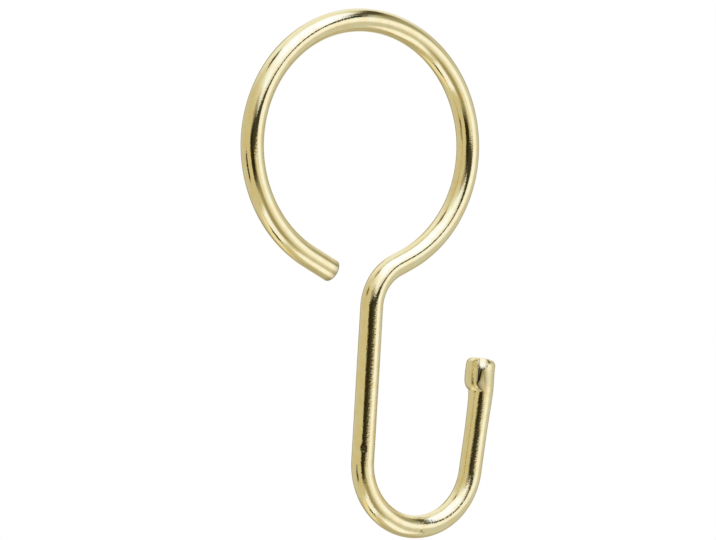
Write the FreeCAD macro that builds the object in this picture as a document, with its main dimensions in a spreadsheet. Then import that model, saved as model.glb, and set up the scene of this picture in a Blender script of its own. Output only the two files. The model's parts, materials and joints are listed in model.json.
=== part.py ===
import FreeCAD, Part
import math
import os
import Sketcher

# A curtain hook bent from one length of round brass wire. An open ring hangs on the curtain
# rod, a short reverse bend brings the wire back under the ring, and a straight shank ends in
# a U-shaped hook for the curtain's eyelet. The hook's end is upset into a head, thickened
# towards the shank, so that the eyelet doesn't slip off.
# The ring's centre is the origin, its axis is Y, and the shank hangs down along -Z.

# Sizes in millimetres and degrees. Bend radii are to the middle of the wire.
SIZES = (
    ("wire_diameter", 3.5, "thickness of the wire"),
    ("ring_inside", 34.0, "clear diameter of the ring"),
    ("ring_bend", 306.4, "turn of the ring, in degrees"),
    ("tip_straight", 4.7, "straight wire at the ring's free end"),
    ("tip_rounding", 0.5, "rounding of the free end's rim"),
    ("neck_straight", 2.1, "straight wire between the ring and the neck's bend"),
    ("neck_radius", 7.2, "bend radius of the neck"),
    ("neck_bend", 61.3, "turn of the neck, in degrees"),
    ("shank_straight", 23.0, "straight wire of the shank"),
    ("throat_width", 15.6, "clear width between shank and leg, across the U"),
    ("hook_bend", 174.5, "turn of the U, in degrees"),
    ("leg_straight", 6.7, "straight wire of the leg, below its swell"),
    ("swell_height", 5.5, "length over which upsetting swells the leg"),
    ("swell_diameter", 3.75, "thickness of the leg just under the head"),
    ("head_height", 5.0, "height of the upset head"),
    ("head_diameter", 4.55, "thickness of the head"),
    ("head_shift", 0.75, "how far the head stands off the leg's axis, towards the shank"),
    ("head_rounding", 1.0, "rounding of the head's top rim"),
)

# The head's sections above the swell: the share of its height at which each one lies, and the
# shares of the head's thickening and of its shift that are reached there.
HEAD_SECTIONS = (
    ("HeadShoulder", 0.13, 0.7, 0.55),
    ("HeadBelly", 0.4, 1.0, 0.9),
    ("HeadCrown", 1.0, 0.95, 1.0),
)

SHEET = "Sizes"

# A sketch's own numbers: a curve's start, end and centre, and then its root and its Y axis.
START, END, CENTRE = range(1, 4)
ROOT, Y_AXIS = range(-1, -3, -1)
ORIGIN = (ROOT, START)


def size_sheet(doc):
    """The spreadsheet of driving sizes, one named cell a row."""
    sheet = doc.addObject("Spreadsheet::Sheet", SHEET)
    for row, (name, value, meaning) in enumerate(SIZES, 1):
        sheet.set(f"A{row}", name)
        sheet.set(f"B{row}", str(value))
        sheet.set(f"C{row}", meaning)
        sheet.setAlias(f"B{row}", name)
    doc.recompute()
    return sheet


def bind(sketch, kind, where, formula, value):
    """Adds a size to the sketch and ties it to the sheet."""
    index = sketch.addConstraint(Sketcher.Constraint(kind, *where, value))
    sketch.setExpression(f"Constraints[{index}]", formula)


def wire_path(body, sheet):
    """The wire's middle line in the XZ plane, from the ring's free end to the leg's swell."""
    sketch = body.newObject("Sketcher::SketchObject", "WirePath")
    planes = {feature.Role: feature for feature in body.Origin.OriginFeatures}
    sketch.AttachmentSupport = [(planes["XZ_Plane"], "")]
    sketch.MapMode = "FlatFace"

    wire = sheet.wire_diameter
    ring_radius = (sheet.ring_inside + wire) / 2
    hook_radius = (sheet.throat_width + wire) / 2

    def ahead(point, heading, length):
        return point + FreeCAD.Vector(math.cos(heading), math.sin(heading)) * length

    def line(point, heading, length):
        end = ahead(point, heading, length)
        return sketch.addGeometry(Part.LineSegment(point, end)), end

    def left_bend(point, heading, radius, turn):
        centre = ahead(point, heading + math.pi / 2, radius)
        first = heading - math.pi / 2
        circle = Part.Circle(centre, FreeCAD.Vector(0, 0, 1), radius)
        bend = sketch.addGeometry(Part.ArcOfCircle(circle, first, first + turn))
        return bend, ahead(centre, first + turn, radius)

    # headings of the wire on its way down: out of the ring, down the shank, up the leg
    neck_turn = math.radians(sheet.neck_bend)
    hook_turn = math.radians(sheet.hook_bend)
    down = math.radians(270)
    neck_way = down - neck_turn
    ring_last = neck_way + math.pi / 2
    ring_first = ring_last + math.radians(sheet.ring_bend)

    middle = FreeCAD.Vector(0, 0, 0)
    ring_top = ahead(middle, ring_first, ring_radius)
    free_end = ahead(ring_top, ring_first + math.pi / 2, sheet.tip_straight)
    tip = sketch.addGeometry(Part.LineSegment(free_end, ring_top))
    circle = Part.Circle(middle, FreeCAD.Vector(0, 0, 1), ring_radius)
    ring = sketch.addGeometry(Part.ArcOfCircle(circle, ring_last, ring_first))
    point = ahead(middle, ring_last, ring_radius)
    neck, point = line(point, neck_way, sheet.neck_straight)
    neck_arc, point = left_bend(point, neck_way, sheet.neck_radius, neck_turn)
    shank, point = line(point, down, sheet.shank_straight)
    hook_arc, point = left_bend(point, down, hook_radius, hook_turn)
    leg, _ = line(point, down + hook_turn, sheet.leg_straight)

    joints = (
        (tip, END, ring, END),
        (ring, START, neck, START),
        (neck, END, neck_arc, START),
        (neck_arc, END, shank, START),
        (shank, END, hook_arc, START),
        (hook_arc, END, leg, START),
    )
    for joint in joints:
        sketch.addConstraint(Sketcher.Constraint("Tangent", *joint))
    sketch.addConstraint(Sketcher.Constraint("Coincident", ring, CENTRE, *ORIGIN))
    sketch.addConstraint(Sketcher.Constraint("Vertical", shank))

    ring_formula = f"({SHEET}.ring_inside + {SHEET}.wire_diameter) / 2"
    hook_formula = f"({SHEET}.throat_width + {SHEET}.wire_diameter) / 2"
    bind(sketch, "Radius", (ring,), ring_formula, ring_radius)
    bind(sketch, "Radius", (neck_arc,), f"{SHEET}.neck_radius", sheet.neck_radius)
    bind(sketch, "Radius", (hook_arc,), hook_formula, hook_radius)
    bends = ((ring, "ring_bend"), (neck_arc, "neck_bend"), (hook_arc, "hook_bend"))
    for arc, name in bends:
        turn = math.radians(sheet.getPropertyByName(name))
        bind(sketch, "Angle", (arc,), f"{SHEET}.{name} * 1 deg", turn)
    straights = (
        (tip, "tip_straight"),
        (neck, "neck_straight"),
        (shank, "shank_straight"),
        (leg, "leg_straight"),
    )
    for straight, name in straights:
        bind(sketch, "Distance", (straight,), f"{SHEET}.{name}", sheet.getPropertyByName(name))
    return sketch


def round_section(body, path, name, edge, along, diameter, value):
    """A circle square to one of the path's edges, at that edge's start (0) or end (1)."""
    sketch = body.newObject("Sketcher::SketchObject", name)
    sketch.AttachmentSupport = [(path, edge)]
    sketch.MapMode = "NormalToEdge"
    sketch.MapPathParameter = along
    axis = FreeCAD.Vector(0, 0, 1)
    circle = sketch.addGeometry(Part.Circle(FreeCAD.Vector(0, 0, 0), axis, value / 2))
    bind(sketch, "Diameter", (circle,), diameter, value)
    return sketch, circle


def centred_section(body, path, name, edge, along, size, sheet):
    """A round section of a named size, on the wire's middle line."""
    value = sheet.getPropertyByName(size)
    sketch, circle = round_section(body, path, name, edge, along, f"{SHEET}.{size}", value)
    sketch.addConstraint(Sketcher.Constraint("Coincident", circle, CENTRE, *ORIGIN))
    return sketch


def head_section(body, path, name, leg, height, thickening, shift, sheet):
    """A section of the head, thicker than the leg and shifted towards the shank."""
    gain = f"({SHEET}.head_diameter - {SHEET}.swell_diameter)"
    diameter = f"{SHEET}.swell_diameter + {gain} * {thickening}"
    gained = (sheet.head_diameter - sheet.swell_diameter) * thickening
    value = sheet.swell_diameter + gained
    sketch, circle = round_section(body, path, name, leg, 1, diameter, value)
    rise = f"-({SHEET}.swell_height + {SHEET}.head_height * {height})"
    sketch.setExpression("AttachmentOffset.Base.z", rise)
    sketch.addConstraint(Sketcher.Constraint("PointOnObject", circle, CENTRE, Y_AXIS))
    body.Document.recompute()
    # the shank is on the leg's -X side, and the sketch's own Y may point either way
    own_y = sketch.Placement.Rotation.multVec(FreeCAD.Vector(0, 1, 0))
    ends = (*ORIGIN, circle, CENTRE) if own_y.x < 0 else (circle, CENTRE, *ORIGIN)
    bind(sketch, "DistanceY", ends, f"{SHEET}.head_shift * {shift}", sheet.head_shift * shift)
    return sketch


def flat_rim(feature, point):
    """The edges round the feature's flat face that lies nearest to a point."""
    flats = [face for face in feature.Shape.Faces if face.Surface.TypeId == "Part::GeomPlane"]
    face = min(flats, key=lambda flat: flat.CenterOfMass.distanceToPoint(point))
    edges = enumerate(feature.Shape.Edges, 1)
    return [f"Edge{n}" for n, edge in edges if any(edge.isSame(own) for own in face.Edges)]


def rounded(body, name, base, point, size):
    """Rounds the rim of the flat face nearest to a point by a named size."""
    fillet = body.newObject("PartDesign::Fillet", name)
    fillet.Base = (base, flat_rim(base, point))
    fillet.setExpression("Radius", f"{SHEET}.{size}")
    body.Document.recompute()
    return fillet


def curtain_hook(doc, sheet):
    """The whole hook: bent wire, swollen leg, upset head, and rounded ends."""
    body = doc.addObject("PartDesign::Body", "CurtainHook")
    body.Label = "curtain_hook"
    path = wire_path(body, sheet)
    doc.recompute()
    edges = [f"Edge{n}" for n in range(1, len(path.Shape.Edges) + 1)]
    first, leg = edges[0], edges[-1]

    wire = body.newObject("PartDesign::AdditivePipe", "BentWire")
    wire.Profile = centred_section(body, path, "WireSection", first, 0, "wire_diameter", sheet)
    wire.Spine = (path, edges)
    doc.recompute()

    swell = body.newObject("PartDesign::AdditiveLoft", "LegSwell")
    swell.Profile = centred_section(body, path, "SwellFoot", leg, 1, "wire_diameter", sheet)
    swell_top = centred_section(body, path, "SwellTop", leg, 1, "swell_diameter", sheet)
    swell_top.setExpression("AttachmentOffset.Base.z", f"-{SHEET}.swell_height")
    swell.Sections = [(swell_top, [""])]
    doc.recompute()

    head = body.newObject("PartDesign::AdditiveLoft", "UpsetHead")
    head.Profile = swell_top
    sections = [
        head_section(body, path, name, leg, *shares, sheet) for name, *shares in HEAD_SECTIONS
    ]
    head.Sections = [(sketch, [""]) for sketch in sections]
    doc.recompute()

    crown = sections[-1].Shape.Edges[0].Curve.Center
    free_end = path.Shape.Edges[0].Vertexes[0].Point
    blunt = rounded(body, "HeadRounding", head, crown, "head_rounding")
    rounded(body, "TipRounding", blunt, free_end, "tip_rounding")
    return body


def check(doc, parts):
    """Stops if an object failed or a part has no sound solid."""
    for item in doc.Objects:
        if "Invalid" in item.State or "Error" in item.State:
            raise RuntimeError(f"{item.Label} failed: {item.State}")
    for part in parts:
        if part.Shape.isNull() or not part.Shape.isValid() or len(part.Shape.Solids) != 1:
            raise RuntimeError(f"{part.Label} has no sound solid")


def main():
    doc = FreeCAD.newDocument("CurtainHook")
    sheet = size_sheet(doc)
    parts = [curtain_hook(doc, sheet)]
    doc.recompute()
    check(doc, parts)
    os.makedirs("parts", exist_ok=True)
    for part in parts:
        part.Shape.exportStep(f"parts/{part.Label}.step")


main()
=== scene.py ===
import json
import math

import bpy
import numpy as np
from bpy.props import FloatProperty, FloatVectorProperty, PointerProperty
from mathutils import Matrix, Vector


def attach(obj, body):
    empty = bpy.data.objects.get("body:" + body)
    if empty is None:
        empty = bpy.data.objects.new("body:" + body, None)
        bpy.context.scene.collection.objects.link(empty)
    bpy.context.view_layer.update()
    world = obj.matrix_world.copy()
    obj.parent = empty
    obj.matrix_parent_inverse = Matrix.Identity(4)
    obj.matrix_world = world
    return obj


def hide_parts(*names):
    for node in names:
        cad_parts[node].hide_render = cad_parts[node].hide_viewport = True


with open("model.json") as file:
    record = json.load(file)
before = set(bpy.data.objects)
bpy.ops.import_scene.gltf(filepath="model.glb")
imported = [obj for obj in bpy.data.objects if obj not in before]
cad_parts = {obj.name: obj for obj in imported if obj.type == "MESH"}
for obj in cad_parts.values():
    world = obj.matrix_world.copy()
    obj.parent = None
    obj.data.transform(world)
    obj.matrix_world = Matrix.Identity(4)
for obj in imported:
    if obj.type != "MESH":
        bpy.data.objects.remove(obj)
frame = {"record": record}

bl_info = {
    "name": "Brass curtain hook",
    "version": (1, 0, 0),
    "blender": (4, 5, 0),
    "location": "View3D > Sidebar > Curtain Hook",
    "description": "Bends a curtain hook from one length of brass wire and lights it in a studio",
    "category": "Add Mesh",
}

NODE = "curtain_hook"
SLOT = "polished_brass"
PIECE = "hook_wire"
MM = 0.001
MOUNTS = {mount["name"]: mount["dims"] for mount in frame["record"]["mounts"]}

# The photograph's width in pixels and the camera's sensor in millimetres. They turn the focal
# length in pixels into the camera's own.
PHOTO_WIDTH = 716
SENSOR_WIDTH = 36.0

# The wire's mesh: points round the wire, how strongly they crowd towards the fold's edge, the
# spacing of its rings along the wire, and how far the fine spacing reaches to each side of the
# pit and the specks and below the head.
AROUND = 120
CROWDING = 0.6
RING_STEP = 0.36 * MM
FINE_STEP = 0.07 * MM
PIT_REACH = 1.3 * MM
SPECK_REACH = 0.7 * MM
HEAD_REACH = 0.5 * MM

# The wire's two ends: points of the rounded rim's arc, rings on the flat face, and the share of
# the face at which the first of them lies.
RIM_POINTS = 10
FACE_RINGS = 8
FACE_START = 0.1

# The floor's mesh: points round each ring, and rings.
FLOOR_AROUND = 96
FLOOR_RINGS = 24

# Places on the wire. Angles round it are in degrees from the side that faces the shank at the
# head. Distances along it are from the ring's free end, and a pair is a stretch in millimetres.
PIT_ANGLE = 239.5
PIT_ALONG = 135.85 * MM
SPECK_ALONG = 153.4 * MM
CUT_FADE = (0.4, 1.3)
GRAIN_START = (108.0, 116.0)
FLAT_START = (108.0, 113.0)
FLAT_END = (116.0, 140.0)

# The wire's surface, in millimetres: how far it is set in from the drawn radius, so that its waves
# stay inside the solid's box, the depth of the waves and of the flat along the shank, and the
# flat's half width in degrees.
INSET = 0.016
WAVE_DEPTH = 0.003
FLAT_DEPTH = 0.075
FLAT_WIDTH = 30.0

# Wear of the cut end, from 0 to 1, and how strong the grain is on the ring, and on the shank and
# leg.
CUT_WEAR = 0.34
RING_GRAIN = 0.55
SHANK_GRAIN = 1.3

# The pit's half length and half width, and the radius that it and the specks are laid out on, in
# millimetres.
PIT_LENGTH = 0.55
PIT_WIDTH = 0.42
MARK_RADIUS = MOUNTS["rod_ring"]["length_mm"] / 2

# Two dark specks in the U: millimetres past SPECK_ALONG, angle, radius in millimetres and wear.
SPECKS = (
    (-0.2, 251.0, 0.24, 0.5),
    (0.25, 240.0, 0.17, 0.4),
)

# The head's form: the share of its step that already swells the leg below it, the height over
# which its far side rises, and the angles off the fold's middle between which the folded side
# goes over to the far side.
FOLD_MIDDLE = 351.0
FOLD_EDGE = 311.0
BELOW_SHARE = 0.15
FAR_RISE = 3.9 * MM
NEAR_SIDE = 38.0
FAR_SIDE = 66.0

# Marks on the head. Heights are in millimetres above the head's foot.
GROOVE_START = (0.7, 2.1)
GROOVE_END = (3.3, 3.9)
CREASE_ANGLE = 330.0
CREASE_HEIGHT = 1.6
DISH_ANGLE = 323.0
DISH_HEIGHT = 4.1

# The notch that is sheared into the head: the angle of its far edge and the softness of both, in
# degrees, the height of its foot and of the round above it, and its floor's distance from the
# section's middle at the foot, with how far it leans in for each millimetre of height.
NOTCH_EDGE = 278.0
NOTCH_SOFTNESS = 1.5
NOTCH_FOOT = 3.3
NOTCH_ROUND = 0.9
NOTCH_FLOOR = 2.22
NOTCH_LEAN = 0.31

# The studio as the polished wire reflects it. Each panel is a soft-edged rectangle on the sky:
# name, azimuth and elevation of its middle as the camera sees them over its shoulder (0, 0 is
# the camera itself), tilt, half width, half height, softness of its sides and of its ends, all
# in degrees, and the light that it sends, where 1 is white. Later panels cover earlier ones.
PANELS = (
    ("BackTop", 180, 62, 0, 44, 30, 16, 14, (1.02, 1.10, 1.30)),
    ("BackFloor", 180, -56, 0, 40, 30, 16, 14, (0.50, 0.50, 0.43)),
    ("BackStand", -149, -2, 8, 12, 40, 4, 8, (0.52, 0.51, 0.40)),
    ("BackSlot", -150, -2, 8, 5, 36, 2, 5, (0.34, 0.33, 0.26)),
    ("SideStand", 137, -3, 0, 9, 34, 4, 8, (0.52, 0.52, 0.43)),
    ("SideSlot", 141, -3, -4, 3.5, 30, 1.5, 5, (0.14, 0.135, 0.09)),
    ("Backdrop", 180, 4, 0, 16, 24, 5, 8, (1.0, 1.0, 1.0)),
    ("RightWall", 86, -7, 0, 48, 70, 24, 20, (0.68, 0.73, 0.78)),
    ("KeyGlow", 10, 76, 0, 37, 47, 25, 22, (0.95, 1.05, 1.22)),
    ("GapGlow", 88, 33, -34, 16, 40, 10, 18, (0.40, 0.42, 0.34)),
    ("RightCard", 70, 4, 4, 24, 18, 14, 9, (1.11, 1.21, 1.55)),
    ("KeySoftbox", 28, 51, 5, 31, 35, 11, 11, (1.12, 1.29, 1.85)),
    ("KeyCore", 35, 58, 0, 20, 22, 8, 7, (1.16, 1.39, 2.50)),
    ("GapTop", 101, 52, -74, 8, 18, 4.5, 7, (0.24, 0.24, 0.17)),
    ("KeyGapTop", 100, 54, -74, 4.6, 27, 2.2, 6, (0.09, 0.09, 0.06)),
    ("KeyGap", 60.8, 26.5, -30, 3.6, 14, 1.6, 3, (0.03, 0.03, 0.02)),
    ("KeyGapFoot", 50.6, 11, -30, 4.0, 10, 1.6, 3, (0.03, 0.03, 0.02)),
    ("FillSide", -98, -56, 0, 24, 11, 11, 6, (0.96, 0.94, 0.78)),
    ("FillLeft", -15.5, -49.5, 27, 20, 12, 6.5, 4, (1.10, 1.20, 1.60)),
    ("FillRight", 51, -63, -25, 18, 16, 5, 6, (1.12, 1.22, 1.55)),
    ("FillRim", -59, -61.5, 20, 7, 6, 2.5, 2.5, (0.05, 0.045, 0.02)),
    ("DimCorner", 19, -22, 17, 15, 19, 9, 6, (0.40, 0.38, 0.27)),
    ("GapTip", -8, 19, 10, 9, 6, 5, 5, (0.40, 0.39, 0.30)),
    ("CameraGap", -0.5, -2.5, 21, 16.8, 16, 3.4, 6.5, (0.033, 0.026, 0.007)),
    ("CameraArm", 30, 4.5, 1.5, 22, 6.5, 7, 1, (0.055, 0.055, 0.04)),
    ("ArmCard", 46, -6, 0, 11.5, 5.5, 5, 2.5, (0.90, 0.93, 0.98)),
    ("LeftStand", -60, -13.5, 14, 7.5, 9, 2.5, 2.5, (0.03, 0.025, 0.01)),
    ("TopStand", -53, 58, -33, 8.5, 6.3, 2.5, 2.5, (0.10, 0.09, 0.04)),
)

# The room's light where no panel hangs, in front of the hook and behind it. One goes over to the
# other between two cosines of the angle off the camera.
FRONT_ROOM = (0.69, 0.68, 0.555)
BACK_ROOM = (0.68, 0.70, 0.72)
ROOM_TURN = (-0.8, 0.5)

# Shares of the floor's radius between which it fades out.
FLOOR_FADE = (0.35, 0.95)


class HookSizes(bpy.types.PropertyGroup):
    """Sizes of the bent wire. Bend radii are to the middle of the wire."""

    wire: FloatProperty(
        name="Wire",
        description="Thickness of the wire",
        default=MOUNTS["rod_ring"]["length_mm"] * MM,
        unit="LENGTH",
    )
    ring_inside: FloatProperty(
        name="Ring inside",
        description="Clear diameter of the ring",
        default=2 * MOUNTS["rod_ring"]["r_mm"] * MM,
        unit="LENGTH",
    )
    ring_bend: FloatProperty(
        name="Ring bend",
        description="Turn of the open ring",
        default=math.radians(306.4),
        subtype="ANGLE",
    )
    tip_straight: FloatProperty(
        name="Tip",
        description="Straight wire at the ring's free end",
        default=4.7 * MM,
        unit="LENGTH",
    )
    tip_rounding: FloatProperty(
        name="Tip rounding",
        description="Rounding of the free end's rim",
        default=0.5 * MM,
        unit="LENGTH",
    )
    neck_straight: FloatProperty(
        name="Neck",
        description="Straight wire between the ring and the neck's bend",
        default=2.1 * MM,
        unit="LENGTH",
    )
    neck_radius: FloatProperty(
        name="Neck radius",
        description="Bend radius of the neck",
        default=7.2 * MM,
        unit="LENGTH",
    )
    neck_bend: FloatProperty(
        name="Neck bend",
        description="Turn of the neck",
        default=math.radians(61.3),
        subtype="ANGLE",
    )
    shank: FloatProperty(
        name="Shank",
        description="Straight wire of the shank",
        default=23.0 * MM,
        unit="LENGTH",
    )
    throat: FloatProperty(
        name="Throat",
        description="Clear width between shank and leg",
        default=2 * MOUNTS["eyelet_seat"]["r_mm"] * MM,
        unit="LENGTH",
    )
    hook_bend: FloatProperty(
        name="Hook bend",
        description="Turn of the U",
        default=math.radians(174.5),
        subtype="ANGLE",
    )
    leg: FloatProperty(
        name="Leg",
        description="Straight wire of the leg, below its swell",
        default=6.7 * MM,
        unit="LENGTH",
    )
    swell: FloatProperty(
        name="Swell",
        description="Length over which upsetting swells the leg",
        default=5.5 * MM,
        unit="LENGTH",
    )
    swell_wire: FloatProperty(
        name="Swollen leg",
        description="Thickness of the leg just under the head",
        default=3.75 * MM,
        unit="LENGTH",
    )
    head: FloatProperty(
        name="Head",
        description="Height of the upset head",
        default=5.0 * MM,
        unit="LENGTH",
    )
    head_wire: FloatProperty(
        name="Head thickness",
        description="Thickness of the upset head",
        default=4.53 * MM,
        unit="LENGTH",
    )
    head_shift: FloatProperty(
        name="Head shift",
        description="How far the head stands off the leg's axis, towards the shank",
        default=0.75 * MM,
        unit="LENGTH",
    )
    head_rounding: FloatProperty(
        name="Head rounding",
        description="Rounding of the head's top rim",
        default=1.0 * MM,
        unit="LENGTH",
    )
    lip: FloatProperty(
        name="Lip",
        description="Height in which the folded side of the head stands out from the leg",
        default=0.65 * MM,
        unit="LENGTH",
    )


class HookFinish(bpy.types.PropertyGroup):
    """Finish of the polished brass plating."""

    gold: FloatVectorProperty(
        name="Gold",
        description="Colour of the polished plating",
        default=(0.87, 0.745, 0.405),
        subtype="COLOR",
        min=0.0,
        max=1.0,
    )
    warm_gold: FloatVectorProperty(
        name="Warm gold",
        description="Colour of the plating's warmer patches",
        default=(0.88, 0.68, 0.32),
        subtype="COLOR",
        min=0.0,
        max=1.0,
    )
    # Tarnish in pits and creases, also used as painted shade and painted dark reflection beside the
    # head's fold.
    tarnish_and_painted_shade: FloatVectorProperty(
        name="Tarnish",
        description="Colour in pits and creases that polishing doesn't reach",
        default=(0.028, 0.02, 0.007),
        subtype="COLOR",
        min=0.0,
        max=1.0,
    )
    roughness: FloatProperty(
        name="Roughness",
        description="Roughness of the polish",
        default=0.03,
        subtype="FACTOR",
        min=0.0,
        max=1.0,
    )
    grain_depth: FloatProperty(
        name="Grain depth",
        description="Depth of the drawing lines and of the plating's grain",
        default=0.014 * MM,
        unit="LENGTH",
        precision=6,
    )


class HookStudio(bpy.types.PropertyGroup):
    """Camera and floor."""

    azimuth: FloatProperty(
        name="Azimuth",
        description="Camera's turn round the hook, 0 looking along +Y",
        default=math.radians(-31.18),
        subtype="ANGLE",
    )
    elevation: FloatProperty(
        name="Elevation",
        description="Camera's height above the horizon",
        default=math.radians(-1.01),
        subtype="ANGLE",
    )
    roll: FloatProperty(
        name="Roll",
        description="Camera's turn about its line of sight",
        default=math.radians(3.34),
        subtype="ANGLE",
    )
    distance: FloatProperty(
        name="Distance",
        description="Camera's distance from its target",
        default=0.7384,
        unit="LENGTH",
    )
    target: FloatVectorProperty(
        name="Target",
        description="Point in the middle of the picture",
        default=(0.00066, 0.0, -0.01845),
        subtype="XYZ",
    )
    focal_pixels: FloatProperty(
        name="Focal length",
        description="Focal length in pixels of the photograph",
        default=4960.8,
    )
    floor_height: FloatProperty(
        name="Floor height",
        description="Height of the floor under the ring's centre",
        default=-0.12,
        unit="LENGTH",
    )
    floor_radius: FloatProperty(
        name="Floor radius",
        description="Radius at which the floor has faded into the white surround",
        default=0.8,
        unit="LENGTH",
    )
    floor_colour: FloatVectorProperty(
        name="Floor colour",
        description="Colour of the pale floor",
        default=(0.90, 0.90, 0.89),
        subtype="COLOR",
        min=0.0,
        max=1.0,
    )


def arc_step(heading, rate, length):
    """The step from an arc's start to the point a length along it, as rows of (x, z).

    An arc with a turn of rate per metre has a chord of length * sin(h) / h, where h is half of
    its turn, and the chord's heading is the first heading plus h. A straight run has rate 0.
    """
    half = rate * length / 2
    reach = length * np.sinc(half / math.pi)
    return np.stack((reach * np.cos(heading + half), reach * np.sin(heading + half)), -1)


def wire_runs(sizes):
    """Lengths and turns of the wire's runs, from the ring's free end to the top of the head."""
    ring_radius = (sizes.ring_inside + sizes.wire) / 2
    hook_radius = (sizes.throat + sizes.wire) / 2
    runs = (
        (sizes.tip_straight, 0.0),
        (ring_radius * sizes.ring_bend, -sizes.ring_bend),
        (sizes.neck_straight, 0.0),
        (sizes.neck_radius * sizes.neck_bend, sizes.neck_bend),
        (sizes.shank, 0.0),
        (hook_radius * sizes.hook_bend, sizes.hook_bend),
        (sizes.leg + sizes.swell + sizes.head, 0.0),
    )
    lengths, turns = np.array(runs).T
    return lengths, turns, ring_radius


def wire_line(sizes, along):
    """Points (x, z) and headings of the wire's middle line at distances along it.

    The runs follow each other without a kink. The shank heads straight down, which gives the
    first heading, and the ring's centre is the origin, which gives the first point.
    """
    lengths, turns, ring_radius = wire_runs(sizes)
    rates = turns / lengths
    starts = np.concatenate(([0.0], np.cumsum(lengths)[:-1]))
    down = 1.5 * math.pi
    first = down + sizes.ring_bend - sizes.neck_bend
    headings = first + np.concatenate(([0.0], np.cumsum(turns)[:-1]))
    ring_start = ring_radius * np.array((-math.sin(first), math.cos(first)))
    free_end = ring_start - sizes.tip_straight * np.array((math.cos(first), math.sin(first)))
    steps = np.cumsum(arc_step(headings, rates, lengths), axis=0)
    corners = free_end + np.vstack((np.zeros(2), steps[:-1]))
    run = np.searchsorted(starts, along, side="right") - 1
    past = along - starts[run]
    points = corners[run] + arc_step(headings[run], rates[run], past)
    return points, headings[run] + rates[run] * past


def spaced(*stops):
    """Distances from the first stop to the last, each stop (distance, step after it)."""
    parts = [
        np.linspace(low, high, max(2, math.ceil((high - low) / step) + 1))[:-1]
        for (low, step), (high, _) in zip(stops[:-1], stops[1:])
    ]
    return np.concatenate((*parts, [stops[-1][0]]))


def smooth(low, high, value):
    """0 up to low, 1 from high on, and an S-shaped rise between them."""
    share = np.clip((value - low) / (high - low), 0.0, 1.0)
    return share * share * (3 - 2 * share)


def turned(angle, degrees):
    """Angle past a direction, in degrees from -180 to 180."""
    return (np.degrees(angle) - degrees + 180) % 360 - 180


def bell(value, width):
    """A bell curve: exp(-(value / width) ** 2)."""
    return np.exp(-((value / width) ** 2))


def plateau(value, width):
    """A bell curve with a flat top and steep sides: exp(-(value / width) ** 4)."""
    return np.exp(-((value / width) ** 4))


def off_mark(angle, degrees):
    """Distance round the wire past a direction, in millimetres."""
    return np.radians(turned(angle, degrees)) * MARK_RADIUS


def hook_profile(sizes):
    """Distance along the wire and share of the full section, one value for each ring.

    The free end and the head's top are flats with a rounded rim: round a rim of radius f, the
    share falls short of 1 by f (1 - sin a) over the section's radius, at f (1 - cos a) from the
    end.
    """
    lengths, _, _ = wire_runs(sizes)
    top = lengths.sum()
    head_foot = top - sizes.head
    quarter = np.linspace(0.0, math.pi / 2, RIM_POINTS)[1:]
    face = np.linspace(FACE_START, 1.0, FACE_RINGS)

    def end(rounding, radius):
        rim_along = rounding * (1 - np.cos(quarter))
        rim_share = 1 - rounding * (1 - np.sin(quarter)) / radius
        face_share = face * (1 - rounding / radius)
        return np.append(0 * face, rim_along), np.append(face_share, rim_share)

    tip_along, tip_share = end(sizes.tip_rounding, sizes.wire / 2)
    top_along, top_share = end(sizes.head_rounding, sizes.head_wire / 2)
    body = spaced(
        (sizes.tip_rounding, RING_STEP),
        (PIT_ALONG - PIT_REACH, FINE_STEP),
        (PIT_ALONG + PIT_REACH, RING_STEP),
        (SPECK_ALONG - SPECK_REACH, FINE_STEP),
        (SPECK_ALONG + SPECK_REACH, RING_STEP),
        (head_foot - HEAD_REACH, FINE_STEP),
        (top - sizes.head_rounding, FINE_STEP),
    )[1:-1]
    along = np.concatenate((tip_along, body, top - top_along[::-1]))
    share = np.concatenate((tip_share, 0 * body + 1, top_share[::-1]))
    return along[:, None], share[:, None]


def hook_section(sizes, along, angle):
    """The full section: its middle's shift towards the shank, and radius at each angle.

    The leg swells evenly over its upper part. Above that, at a height h, the section goes over
    to the head's, a larger circle that stands off towards the shank. On the folded side it goes
    by 1 - exp(-h / lip), a step, and on the far side by an S-shaped rise over most of the head's
    height. Just below the head, the leg swells a little further. The height is also given, in
    millimetres.
    """
    lengths, _, _ = wire_runs(sizes)
    head_foot = lengths.sum() - sizes.head
    height = along - head_foot
    swelling = np.clip(1 + height / sizes.swell, 0.0, 1.0)
    leg = (sizes.wire + swelling * (sizes.swell_wire - sizes.wire)) / 2
    above = np.maximum(height, 0.0)
    below = np.minimum(height, 0.0)
    below_share = BELOW_SHARE * np.exp(below / sizes.lip)
    near_share = below_share + (1 - BELOW_SHARE) * (1 - np.exp(-above / sizes.lip))
    far_share = below_share + (1 - BELOW_SHARE) * smooth(0.0, FAR_RISE, height)
    far = smooth(NEAR_SIDE, FAR_SIDE, np.abs(turned(angle, FOLD_MIDDLE)))
    share = near_share + far * (far_share - near_share)
    shift = share * sizes.head_shift
    radius = leg + share * (sizes.head_wire / 2 - leg)
    return shift, radius, height / MM


def wire_relief(s, angle):
    """Relief in millimetres of the wire's surface, s millimetres along it.

    Two slight sine waves wind round the wire, which is set in by an even amount. Along the shank,
    the wire is rolled slightly flat on the side of its pit, in a bell curve across it.
    """
    winding = WAVE_DEPTH * np.sin(s / 1.9 + 1.3 * np.sin(angle + 0.6))
    waves = winding + WAVE_DEPTH * np.sin(s / 3.7 + 2 * angle)
    rolled = smooth(*FLAT_START, s) * (1 - smooth(*FLAT_END, s))
    flat = FLAT_DEPTH * rolled * bell(turned(angle, PIT_ANGLE), FLAT_WIDTH)
    return waves - INSET - flat


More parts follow.
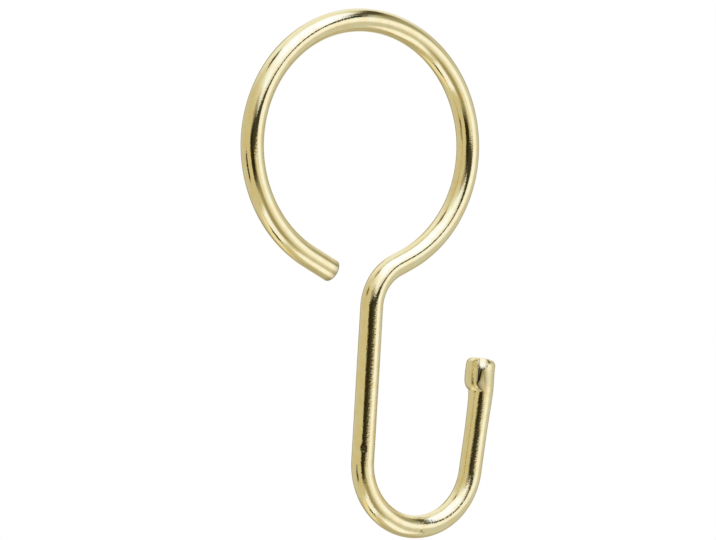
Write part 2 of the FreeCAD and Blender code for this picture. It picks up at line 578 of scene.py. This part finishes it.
def pit_marks(along, angle):
    """Relief in millimetres and wear of a pit rolled into the shank.

    At r pit radii from its middle, the floor is sunk by exp(-r ** 4), with a small bead in the
    middle, exp(-(r / 0.4) ** 2), and a dull ring of wear round it.
    """
    r = np.hypot((along - PIT_ALONG) / MM / PIT_LENGTH, off_mark(angle, PIT_ANGLE) / PIT_WIDTH)
    relief = 0.03 * bell(r, 0.4) - 0.05 * plateau(r, 1.0)
    return relief, 0.6 * bell(r - 1.15, 0.2)


def speck_marks(along, angle):
    """Wear of the dark specks in the U: exp(-r ** 4), at r speck radii from each one's middle."""
    past = (along - SPECK_ALONG) / MM
    return sum(
        dark * plateau(np.hypot(past - place, off_mark(angle, degrees)), radius)
        for place, degrees, radius, dark in SPECKS
    )


def groove_marks(height, angle):
    """Relief in millimetres and painted shade of the groove beside the fold's edge.

    Upsetting left the groove. The edge drops in a few degrees into it, and it runs out in a bell
    curve beside the edge. A painted dark reflection lies along the groove in a wedge, wider towards
    its top. Painted shade also darkens the metal beside the groove, and runs on under the notch and
    past it.
    """
    past_edge = -turned(angle, FOLD_EDGE)
    beside = smooth(-1.5, 2.0, past_edge)
    run = smooth(*GROOVE_START, height) * (1 - smooth(*GROOVE_END, height))
    groove = beside * bell(past_edge, 8.0) * run
    # Painted dark reflection along the groove, a wedge that widens upwards.
    painted_reflection_wedge = plateau(past_edge, 4.0 + 9.0 * smooth(1.7, 2.6, height)) * run
    # Painted shade beside the groove, and under the notch and past it.
    shade_run = smooth(-0.5, 0.5, height) * (1 - smooth(3.2, 3.6, height))
    shade = bell(past_edge, 24.0) * shade_run
    under_notch = bell(height - 3.1 - 0.015 * past_edge, 0.2) * (past_edge < 26)
    past_notch = plateau(past_edge - 42.0, 10.0) * smooth(3.9, 4.5, height)
    painted_shade_spread = np.maximum(np.maximum(0.55 * shade, 0.8 * under_notch), 0.42 * past_notch)
    # All of this is painted shade and painted dark reflection, mixed in as wear.
    painted_shade = beside * np.maximum(painted_reflection_wedge, painted_shade_spread)
    return -0.16 * groove, 0.95 * painted_shade


def crease_marks(height, angle):
    """Relief in millimetres and wear of a wavy crease of three spots, bell curves, on the fold."""
    off = turned(angle, CREASE_ANGLE) - 1.5 * np.sin(3 * height)
    up = height - CREASE_HEIGHT
    spots = np.maximum(bell(up, 0.35), 0.5 * bell(np.abs(up) - 0.65, 0.2))
    crease = bell(off, 4.5) * spots
    return -0.02 * crease, 0.6 * crease


def dish_marks(height, angle):
    """Relief in millimetres and wear of a dished spot near the fold's top.

    At r spot radii from its middle, the spot is sunk by exp(-r ** 4) and its rim, at r = 1, is
    worn.
    """
    r = np.hypot((height - DISH_HEIGHT) / 0.6, turned(angle, DISH_ANGLE) / 12.5)
    dish = plateau(r, 1.0)
    rim = bell(r - 1, 0.22) * (height > 0)
    return -0.025 * dish, 0.13 * rim + 0.08 * dish


def notched(radius, height, angle):
    """Cuts a sheared notch beside the fold, down to a flat floor that leans in.

    In outline it is a U: from its foot up, its half width grows with the square root of the
    height until it is full.
    """
    over_foot = height - NOTCH_FOOT
    off_middle = np.abs(turned(angle, (FOLD_EDGE + NOTCH_EDGE) / 2))
    widening = np.sqrt(np.clip(over_foot / NOTCH_ROUND, 0.0, 1.0))
    half_width = (FOLD_EDGE - NOTCH_EDGE) / 2 * widening
    inside = 1 - smooth(half_width - NOTCH_SOFTNESS, half_width + NOTCH_SOFTNESS, off_middle)
    floor = (NOTCH_FLOOR - NOTCH_LEAN * over_foot) * MM
    return radius - inside * (over_foot > 0) * np.maximum(radius - floor, 0.0)


def hook_surface(sizes):
    """Grid of points on the hook, its two end points, and what the finish reads at each point.

    A section is carried along the wire's line, square to it: the point at angle a round the
    ring at a distance s is line(s) + side * (shift + r cos a) + Y * r sin a, where side is the
    line's left-hand side. The unbent coordinates are (r cos a, r sin a, s), in millimetres.
    The shank and leg keep more of their grain than the ring, and the cut at the ring's free end
    is dull. Beside the head's fold, the wear also carries painted shade and painted dark
    reflection.
    """
    along, share = hook_profile(sizes)
    even = np.arange(AROUND)[None, :] * math.tau / AROUND
    angle = even - CROWDING * np.sin(even - math.radians(FOLD_EDGE))
    s = along / MM
    shift, radius, height = hook_section(sizes, along, angle)
    pit, pit_wear = pit_marks(along, angle)
    groove, groove_painted_shade = groove_marks(height, angle)
    crease, crease_wear = crease_marks(height, angle)
    dish, dish_wear = dish_marks(height, angle)
    relief = (wire_relief(s, angle) + pit + groove + crease + dish) * MM
    reach = notched(share * (radius + relief), height, angle)
    across = shift + reach * np.cos(angle)
    depth = reach * np.sin(angle)
    line, heading = wire_line(sizes, along[:, 0])
    side = np.stack((-np.sin(heading), np.cos(heading)), -1)
    x = line[:, :1] + side[:, :1] * across
    z = line[:, 1:] + side[:, 1:] * across
    points = np.stack((x, depth, z), -1)
    ends = points[[0, -1]].mean(axis=1)
    unbent = np.stack((reach * np.cos(angle) / MM, depth / MM, s + 0 * angle), -1)
    cut_wear = CUT_WEAR * (1 - smooth(*CUT_FADE, s))
    # The crease and dish are tarnish; the groove's share is painted shade and painted dark
    # reflection.
    head_wear_and_painted_shade = groove_painted_shade + crease_wear + dish_wear
    wear_and_painted_shade = np.clip(cut_wear + pit_wear + speck_marks(along, angle) + head_wear_and_painted_shade, 0.0, 1.0)
    grain = RING_GRAIN + (SHANK_GRAIN - RING_GRAIN) * smooth(*GRAIN_START, s) + 0 * angle
    return points, ends, {"unbent": unbent, "wear_and_painted_shade": wear_and_painted_shade, "grain": grain}


def ring_faces(rings, around):
    """Numbers of the points in a grid of closed rings, from 1, their neighbours', and its quads."""
    index = 1 + np.arange(rings * around).reshape(rings, around)
    beside = np.roll(index, -1, axis=1)
    quads = np.stack((index[:-1], index[1:], beside[1:], beside[:-1]), -1).reshape(-1, 4)
    return index, beside, quads


def tube_mesh(name, points, ends, finish):
    """A closed mesh over a grid of rings, with a fan of triangles to a point at each end."""
    rings, around = points.shape[:2]
    vertices = np.vstack((ends[:1], points.reshape(-1, 3), ends[1:]))
    index, beside, quads = ring_faces(rings, around)
    last = np.full(around, len(vertices) - 1)
    first_fan = np.stack((0 * last, index[0], beside[0]), -1)
    last_fan = np.stack((index[-1], last, beside[-1]), -1)
    fans = np.vstack((first_fan, last_fan))
    mesh = bpy.data.meshes.new(name)
    mesh.from_pydata(vertices.tolist(), [], quads.tolist() + fans.tolist())
    if mesh.validate():
        raise RuntimeError(f"{name} has faulty faces")
    mesh.shade_smooth()

    for label, values in finish.items():
        parts = values.reshape(rings * around, -1)
        padded = np.concatenate((parts[:1], parts, parts[-1:])).astype(np.float32)
        kind, field = ("FLOAT_VECTOR", "vector") if padded.shape[1] == 3 else ("FLOAT", "value")
        mesh.attributes.new(label, kind, "POINT").data.foreach_set(field, padded.ravel())
    return mesh


def node(tree, kind, **values):
    """Adds a shader node, with settings by attribute name and inputs by socket name."""
    made = tree.nodes.new("ShaderNode" + kind)
    inputs = values.pop("inputs", {})
    for name, value in values.items():
        setattr(made, name, value)
    for name, value in inputs.items():
        made.inputs[name].default_value = value
    return made


def mixed(tree, factor, first, second):
    """The mix of two colours by a factor, each given as a colour or as another node's output."""
    mix = node(tree, "Mix", data_type="RGBA")
    tree.links.new(factor, mix.inputs["Factor"])
    for socket, colour in (("A", first), ("B", second)):
        if isinstance(colour, bpy.types.NodeSocket):
            tree.links.new(colour, mix.inputs[socket])
        else:
            mix.inputs[socket].default_value = (*colour, 1.0)
    return mix.outputs["Result"]


def brass_material(finish):
    """Polished brass: warm patches, drawing lines along the wire, fine grain, worn pits and painted
    shade.
    """
    material = bpy.data.materials.new(SLOT)
    material.use_nodes = True
    tree = material.node_tree
    link = tree.links.new
    shader = tree.nodes["Principled BSDF"]
    shader.inputs["Metallic"].default_value = 1.0

    unbent = node(tree, "Attribute", attribute_name="unbent")
    wear_and_painted_shade = node(tree, "Attribute", attribute_name="wear_and_painted_shade")

    patches = node(tree, "TexNoise", inputs={"Scale": 0.7, "Detail": 4.0, "Roughness": 0.65})
    link(unbent.outputs["Vector"], patches.inputs["Vector"])
    warmth = node(tree, "MapRange", inputs={"From Min": 0.42, "From Max": 0.68})
    link(patches.outputs["Fac"], warmth.inputs["Value"])
    plating = mixed(tree, warmth.outputs["Result"], finish.gold, finish.warm_gold)
    # Wear darkens the plating towards tarnish; beside the head's fold this is painted shade and
    # painted dark reflection.
    colour = mixed(tree, wear_and_painted_shade.outputs["Fac"], plating, finish.tarnish_and_painted_shade)
    link(colour, shader.inputs["Base Color"])

    stretched = node(tree, "VectorMath", operation="MULTIPLY")
    stretched.inputs[1].default_value = (1.0, 1.0, 0.03)
    link(unbent.outputs["Vector"], stretched.inputs[0])
    lines = node(tree, "TexNoise", inputs={"Scale": 9.0, "Detail": 2.0})
    link(stretched.outputs["Vector"], lines.inputs["Vector"])
    grain = node(tree, "TexNoise", inputs={"Scale": 4.5, "Detail": 1.0})
    link(unbent.outputs["Vector"], grain.inputs["Vector"])
    height = node(tree, "Mix", data_type="FLOAT", inputs={"Factor": 0.85})
    link(lines.outputs["Fac"], height.inputs["A"])
    link(grain.outputs["Fac"], height.inputs["B"])
    kept = node(tree, "Attribute", attribute_name="grain")
    depth = node(tree, "Math", operation="MULTIPLY")
    link(height.outputs["Result"], depth.inputs[0])
    link(kept.outputs["Fac"], depth.inputs[1])
    bump = node(tree, "Bump", inputs={"Strength": 1.0, "Distance": finish.grain_depth})
    link(depth.outputs["Value"], bump.inputs["Height"])
    link(bump.outputs["Normal"], shader.inputs["Normal"])

    rougher = finish.roughness + 0.05
    rough = node(tree, "MapRange", inputs={"To Min": finish.roughness, "To Max": rougher})
    link(warmth.outputs["Result"], rough.inputs["Value"])
    link(rough.outputs["Result"], shader.inputs["Roughness"])
    return material


def camera_axes(studio):
    """The camera's right, up and back directions, as the columns of a matrix.

    Back points from the target to the camera, right lies in the horizon's plane and up is
    square to both. The roll then turns right and up about back.
    """
    turn, rise = studio.azimuth, studio.elevation
    flat = math.cos(rise)
    back = Vector((math.sin(turn) * flat, -math.cos(turn) * flat, math.sin(rise)))
    right = Vector((math.cos(turn), math.sin(turn), 0.0))
    axes = Matrix((right, back.cross(right), back)).transposed()
    return axes @ Matrix.Rotation(studio.roll, 3, "Z")


def panel_axes(axes, azimuth, elevation, tilt):
    """Middle, right and up directions of a studio panel, given in degrees off the camera."""
    turn, rise = math.radians(azimuth), math.radians(elevation)
    middle = Vector(
        (math.sin(turn) * math.cos(rise), math.sin(rise), math.cos(turn) * math.cos(rise))
    )
    right = Vector((math.cos(turn), 0.0, -math.sin(turn)))
    up = middle.cross(right)
    lean = math.radians(tilt)
    leaning_right = math.cos(lean) * right + math.sin(lean) * up
    leaning_up = math.cos(lean) * up - math.sin(lean) * right
    return axes @ middle, axes @ leaning_right, axes @ leaning_up


def soft_panel_group():
    """Node group: the share of a soft-edged rectangle that a direction sees.

    The angle off the panel's middle is measured across its width and along its height. Each
    fades smoothly from 1 to 0 between an inner and an outer angle, and the two are multiplied.
    """
    group = bpy.data.node_groups.new("SoftPanel", "ShaderNodeTree")
    sockets = group.interface
    for name in ("Direction", "Middle", "Right", "Up"):
        sockets.new_socket(name, in_out="INPUT", socket_type="NodeSocketVector")
    for name in ("Inner Width", "Outer Width", "Inner Height", "Outer Height"):
        sockets.new_socket(name, in_out="INPUT", socket_type="NodeSocketFloat")
    sockets.new_socket("Share", in_out="OUTPUT", socket_type="NodeSocketFloat")
    link = group.links.new
    given = group.nodes.new("NodeGroupInput")
    result = group.nodes.new("NodeGroupOutput")

    def part(axis):
        product = node(group, "VectorMath", operation="DOT_PRODUCT")
        link(given.outputs["Direction"], product.inputs[0])
        link(given.outputs[axis], product.inputs[1])
        return product.outputs["Value"]

    def fade(axis, size):
        off_middle = node(group, "Math", operation="ABSOLUTE")
        link(part(axis), off_middle.inputs[0])
        angle = node(group, "Math", operation="ARCTAN2")
        link(off_middle.outputs[0], angle.inputs[0])
        link(ahead, angle.inputs[1])
        falling = {"To Min": 1.0, "To Max": 0.0}
        share = node(group, "MapRange", interpolation_type="SMOOTHSTEP", inputs=falling)
        link(angle.outputs[0], share.inputs["Value"])
        link(given.outputs[f"Inner {size}"], share.inputs["From Min"])
        link(given.outputs[f"Outer {size}"], share.inputs["From Max"])
        return share.outputs["Result"]

    ahead = part("Middle")
    both = node(group, "Math", operation="MULTIPLY")
    link(fade("Right", "Width"), both.inputs[0])
    link(fade("Up", "Height"), both.inputs[1])
    link(both.outputs[0], result.inputs["Share"])
    return group


def studio_world(axes):
    """A white surround to the camera and to the floor, and a studio of soft panels to the metal."""
    world = bpy.data.worlds.new("Studio")
    world.use_nodes = True
    tree = world.node_tree
    tree.nodes.clear()
    link = tree.links.new
    direction = node(tree, "TexCoord").outputs["Generated"]

    facing = node(tree, "VectorMath", operation="DOT_PRODUCT")
    facing.inputs[1].default_value = axes.col[2]
    link(direction, facing.inputs[0])
    turn = {"From Min": ROOM_TURN[0], "From Max": ROOM_TURN[1]}
    front = node(tree, "MapRange", interpolation_type="SMOOTHSTEP", inputs=turn)
    link(facing.outputs["Value"], front.inputs["Value"])
    light = mixed(tree, front.outputs["Result"], BACK_ROOM, FRONT_ROOM)

    group = soft_panel_group()
    for name, azimuth, elevation, tilt, wide, high, soft_sides, soft_ends, colour in PANELS:
        middle, right, up = panel_axes(axes, azimuth, elevation, tilt)
        place = {
            "Middle": middle,
            "Right": right,
            "Up": up,
            "Inner Width": math.radians(wide - soft_sides),
            "Outer Width": math.radians(wide + soft_sides),
            "Inner Height": math.radians(high - soft_ends),
            "Outer Height": math.radians(high + soft_ends),
        }
        panel = node(tree, "Group", node_tree=group, name=name, label=name, inputs=place)
        link(direction, panel.inputs["Direction"])
        light = mixed(tree, panel.outputs["Share"], light, colour)

    studio = node(tree, "Background")
    link(light, studio.inputs["Color"])
    white = node(tree, "Background", inputs={"Color": (1.0, 1.0, 1.0, 1.0)})
    path = node(tree, "LightPath")
    seen = node(tree, "MixShader")
    link(path.outputs["Is Glossy Ray"], seen.inputs["Fac"])
    link(white.outputs[0], seen.inputs[1])
    link(studio.outputs[0], seen.inputs[2])
    output = node(tree, "OutputWorld")
    link(seen.outputs[0], output.inputs["Surface"])
    return world


def floor_mesh(radius, height):
    """A disc as a polar grid: rings at even steps of radius, and a fan of triangles inside."""
    angle = np.arange(FLOOR_AROUND) * math.tau / FLOOR_AROUND
    reach = np.linspace(0.0, radius, FLOOR_RINGS + 1)[1:, None]
    level = 0 * reach * angle + height
    points = np.stack((reach * np.cos(angle), reach * np.sin(angle), level), -1)
    vertices = np.vstack(([[0.0, 0.0, height]], points.reshape(-1, 3)))
    index, beside, quads = ring_faces(FLOOR_RINGS, FLOOR_AROUND)
    fan = np.stack((0 * index[0], index[0], beside[0]), -1)
    mesh = bpy.data.meshes.new("studio_floor")
    mesh.from_pydata(vertices.tolist(), [], quads.tolist() + fan.tolist())
    return mesh


def floor_material(studio):
    """A pale matt floor that fades out towards its edge."""
    material = bpy.data.materials.new("pale_floor")
    material.use_nodes = True
    tree = material.node_tree
    link = tree.links.new
    tree.nodes.clear()
    place = node(tree, "TexCoord")
    reach = node(tree, "VectorMath", operation="LENGTH")
    link(place.outputs["Object"], reach.inputs[0])
    near, far = (share * studio.floor_radius for share in FLOOR_FADE)
    fade = node(
        tree,
        "MapRange",
        interpolation_type="SMOOTHSTEP",
        inputs={"From Min": near, "From Max": far},
    )
    link(reach.outputs["Value"], fade.inputs["Value"])
    matt = node(tree, "BsdfDiffuse", inputs={"Color": (*studio.floor_colour, 1.0)})
    clear = node(tree, "BsdfTransparent")
    seen = node(tree, "MixShader")
    link(fade.outputs["Result"], seen.inputs["Fac"])
    link(matt.outputs[0], seen.inputs[1])
    link(clear.outputs[0], seen.inputs[2])
    output = node(tree, "OutputMaterial")
    link(seen.outputs[0], output.inputs["Surface"])
    return material


class HOOK_OT_bend_wire(bpy.types.Operator):
    """Bends the hook from one length of wire and gives it its polish."""

    bl_idname = "curtain_hook.bend_wire"
    bl_label = "Bend the wire"

    def execute(self, context):
        scene = context.scene
        mesh = tube_mesh(PIECE, *hook_surface(scene.hook_sizes))
        mesh.materials.append(brass_material(scene.hook_finish))
        piece = bpy.data.objects.new(PIECE, mesh)
        scene.collection.objects.link(piece)
        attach(piece, "root")
        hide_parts(NODE)
        return {"FINISHED"}


class HOOK_OT_set_stage(bpy.types.Operator):
    """Sets the floor, the studio's light and the camera."""

    bl_idname = "curtain_hook.set_stage"
    bl_label = "Set the stage"

    def execute(self, context):
        scene = context.scene
        studio = scene.hook_studio
        scene.view_settings.view_transform = "Standard"
        axes = camera_axes(studio)
        scene.world = studio_world(axes)

        mesh = floor_mesh(studio.floor_radius, studio.floor_height)
        mesh.materials.append(floor_material(studio))
        floor = bpy.data.objects.new("studio_floor", mesh)
        floor.visible_glossy = False
        scene.collection.objects.link(floor)

        lens = bpy.data.cameras.new("photo_camera")
        lens.sensor_fit = "HORIZONTAL"
        lens.sensor_width = SENSOR_WIDTH
        lens.lens = studio.focal_pixels * SENSOR_WIDTH / PHOTO_WIDTH
        camera = bpy.data.objects.new("photo_camera", lens)
        spot = Vector(studio.target) + axes.col[2] * studio.distance
        camera.matrix_world = Matrix.Translation(spot) @ axes.to_4x4()
        scene.collection.objects.link(camera)
        scene.camera = camera
        return {"FINISHED"}


class HOOK_PT_sidebar(bpy.types.Panel):
    """Lists the hook's operators and settings."""

    bl_idname = "HOOK_PT_sidebar"
    bl_label = "Curtain hook"
    bl_space_type = "VIEW_3D"
    bl_region_type = "UI"
    bl_category = "Curtain Hook"

    def draw(self, context):
        layout = self.layout
        for operator in OPERATORS:
            layout.operator(operator.bl_idname)
        for name in SETTINGS:
            column = layout.column()
            settings = getattr(context.scene, name)
            for field in settings.__annotations__:
                column.prop(settings, field)


OPERATORS = (HOOK_OT_bend_wire, HOOK_OT_set_stage)
SETTINGS = {
    "hook_sizes": HookSizes,
    "hook_finish": HookFinish,
    "hook_studio": HookStudio,
}


def register():
    """Adds the hook's settings, operators and panel to Blender."""
    for group in SETTINGS.values():
        bpy.utils.register_class(group)
    for name, group in SETTINGS.items():
        setattr(bpy.types.Scene, name, PointerProperty(type=group))
    for operator in OPERATORS:
        bpy.utils.register_class(operator)
    bpy.utils.register_class(HOOK_PT_sidebar)


def unregister():
    """Takes the panel, operators and settings away again."""
    bpy.utils.unregister_class(HOOK_PT_sidebar)
    for operator in reversed(OPERATORS):
        bpy.utils.unregister_class(operator)
    for name in SETTINGS:
        delattr(bpy.types.Scene, name)
    for group in reversed(SETTINGS.values()):
        bpy.utils.unregister_class(group)


def main():
    """Makes the hook and its stage."""
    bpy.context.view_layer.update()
    register()
    bpy.ops.curtain_hook.bend_wire()
    bpy.ops.curtain_hook.set_stage()
    bpy.context.view_layer.update()


if __name__ == "__main__":
    main()
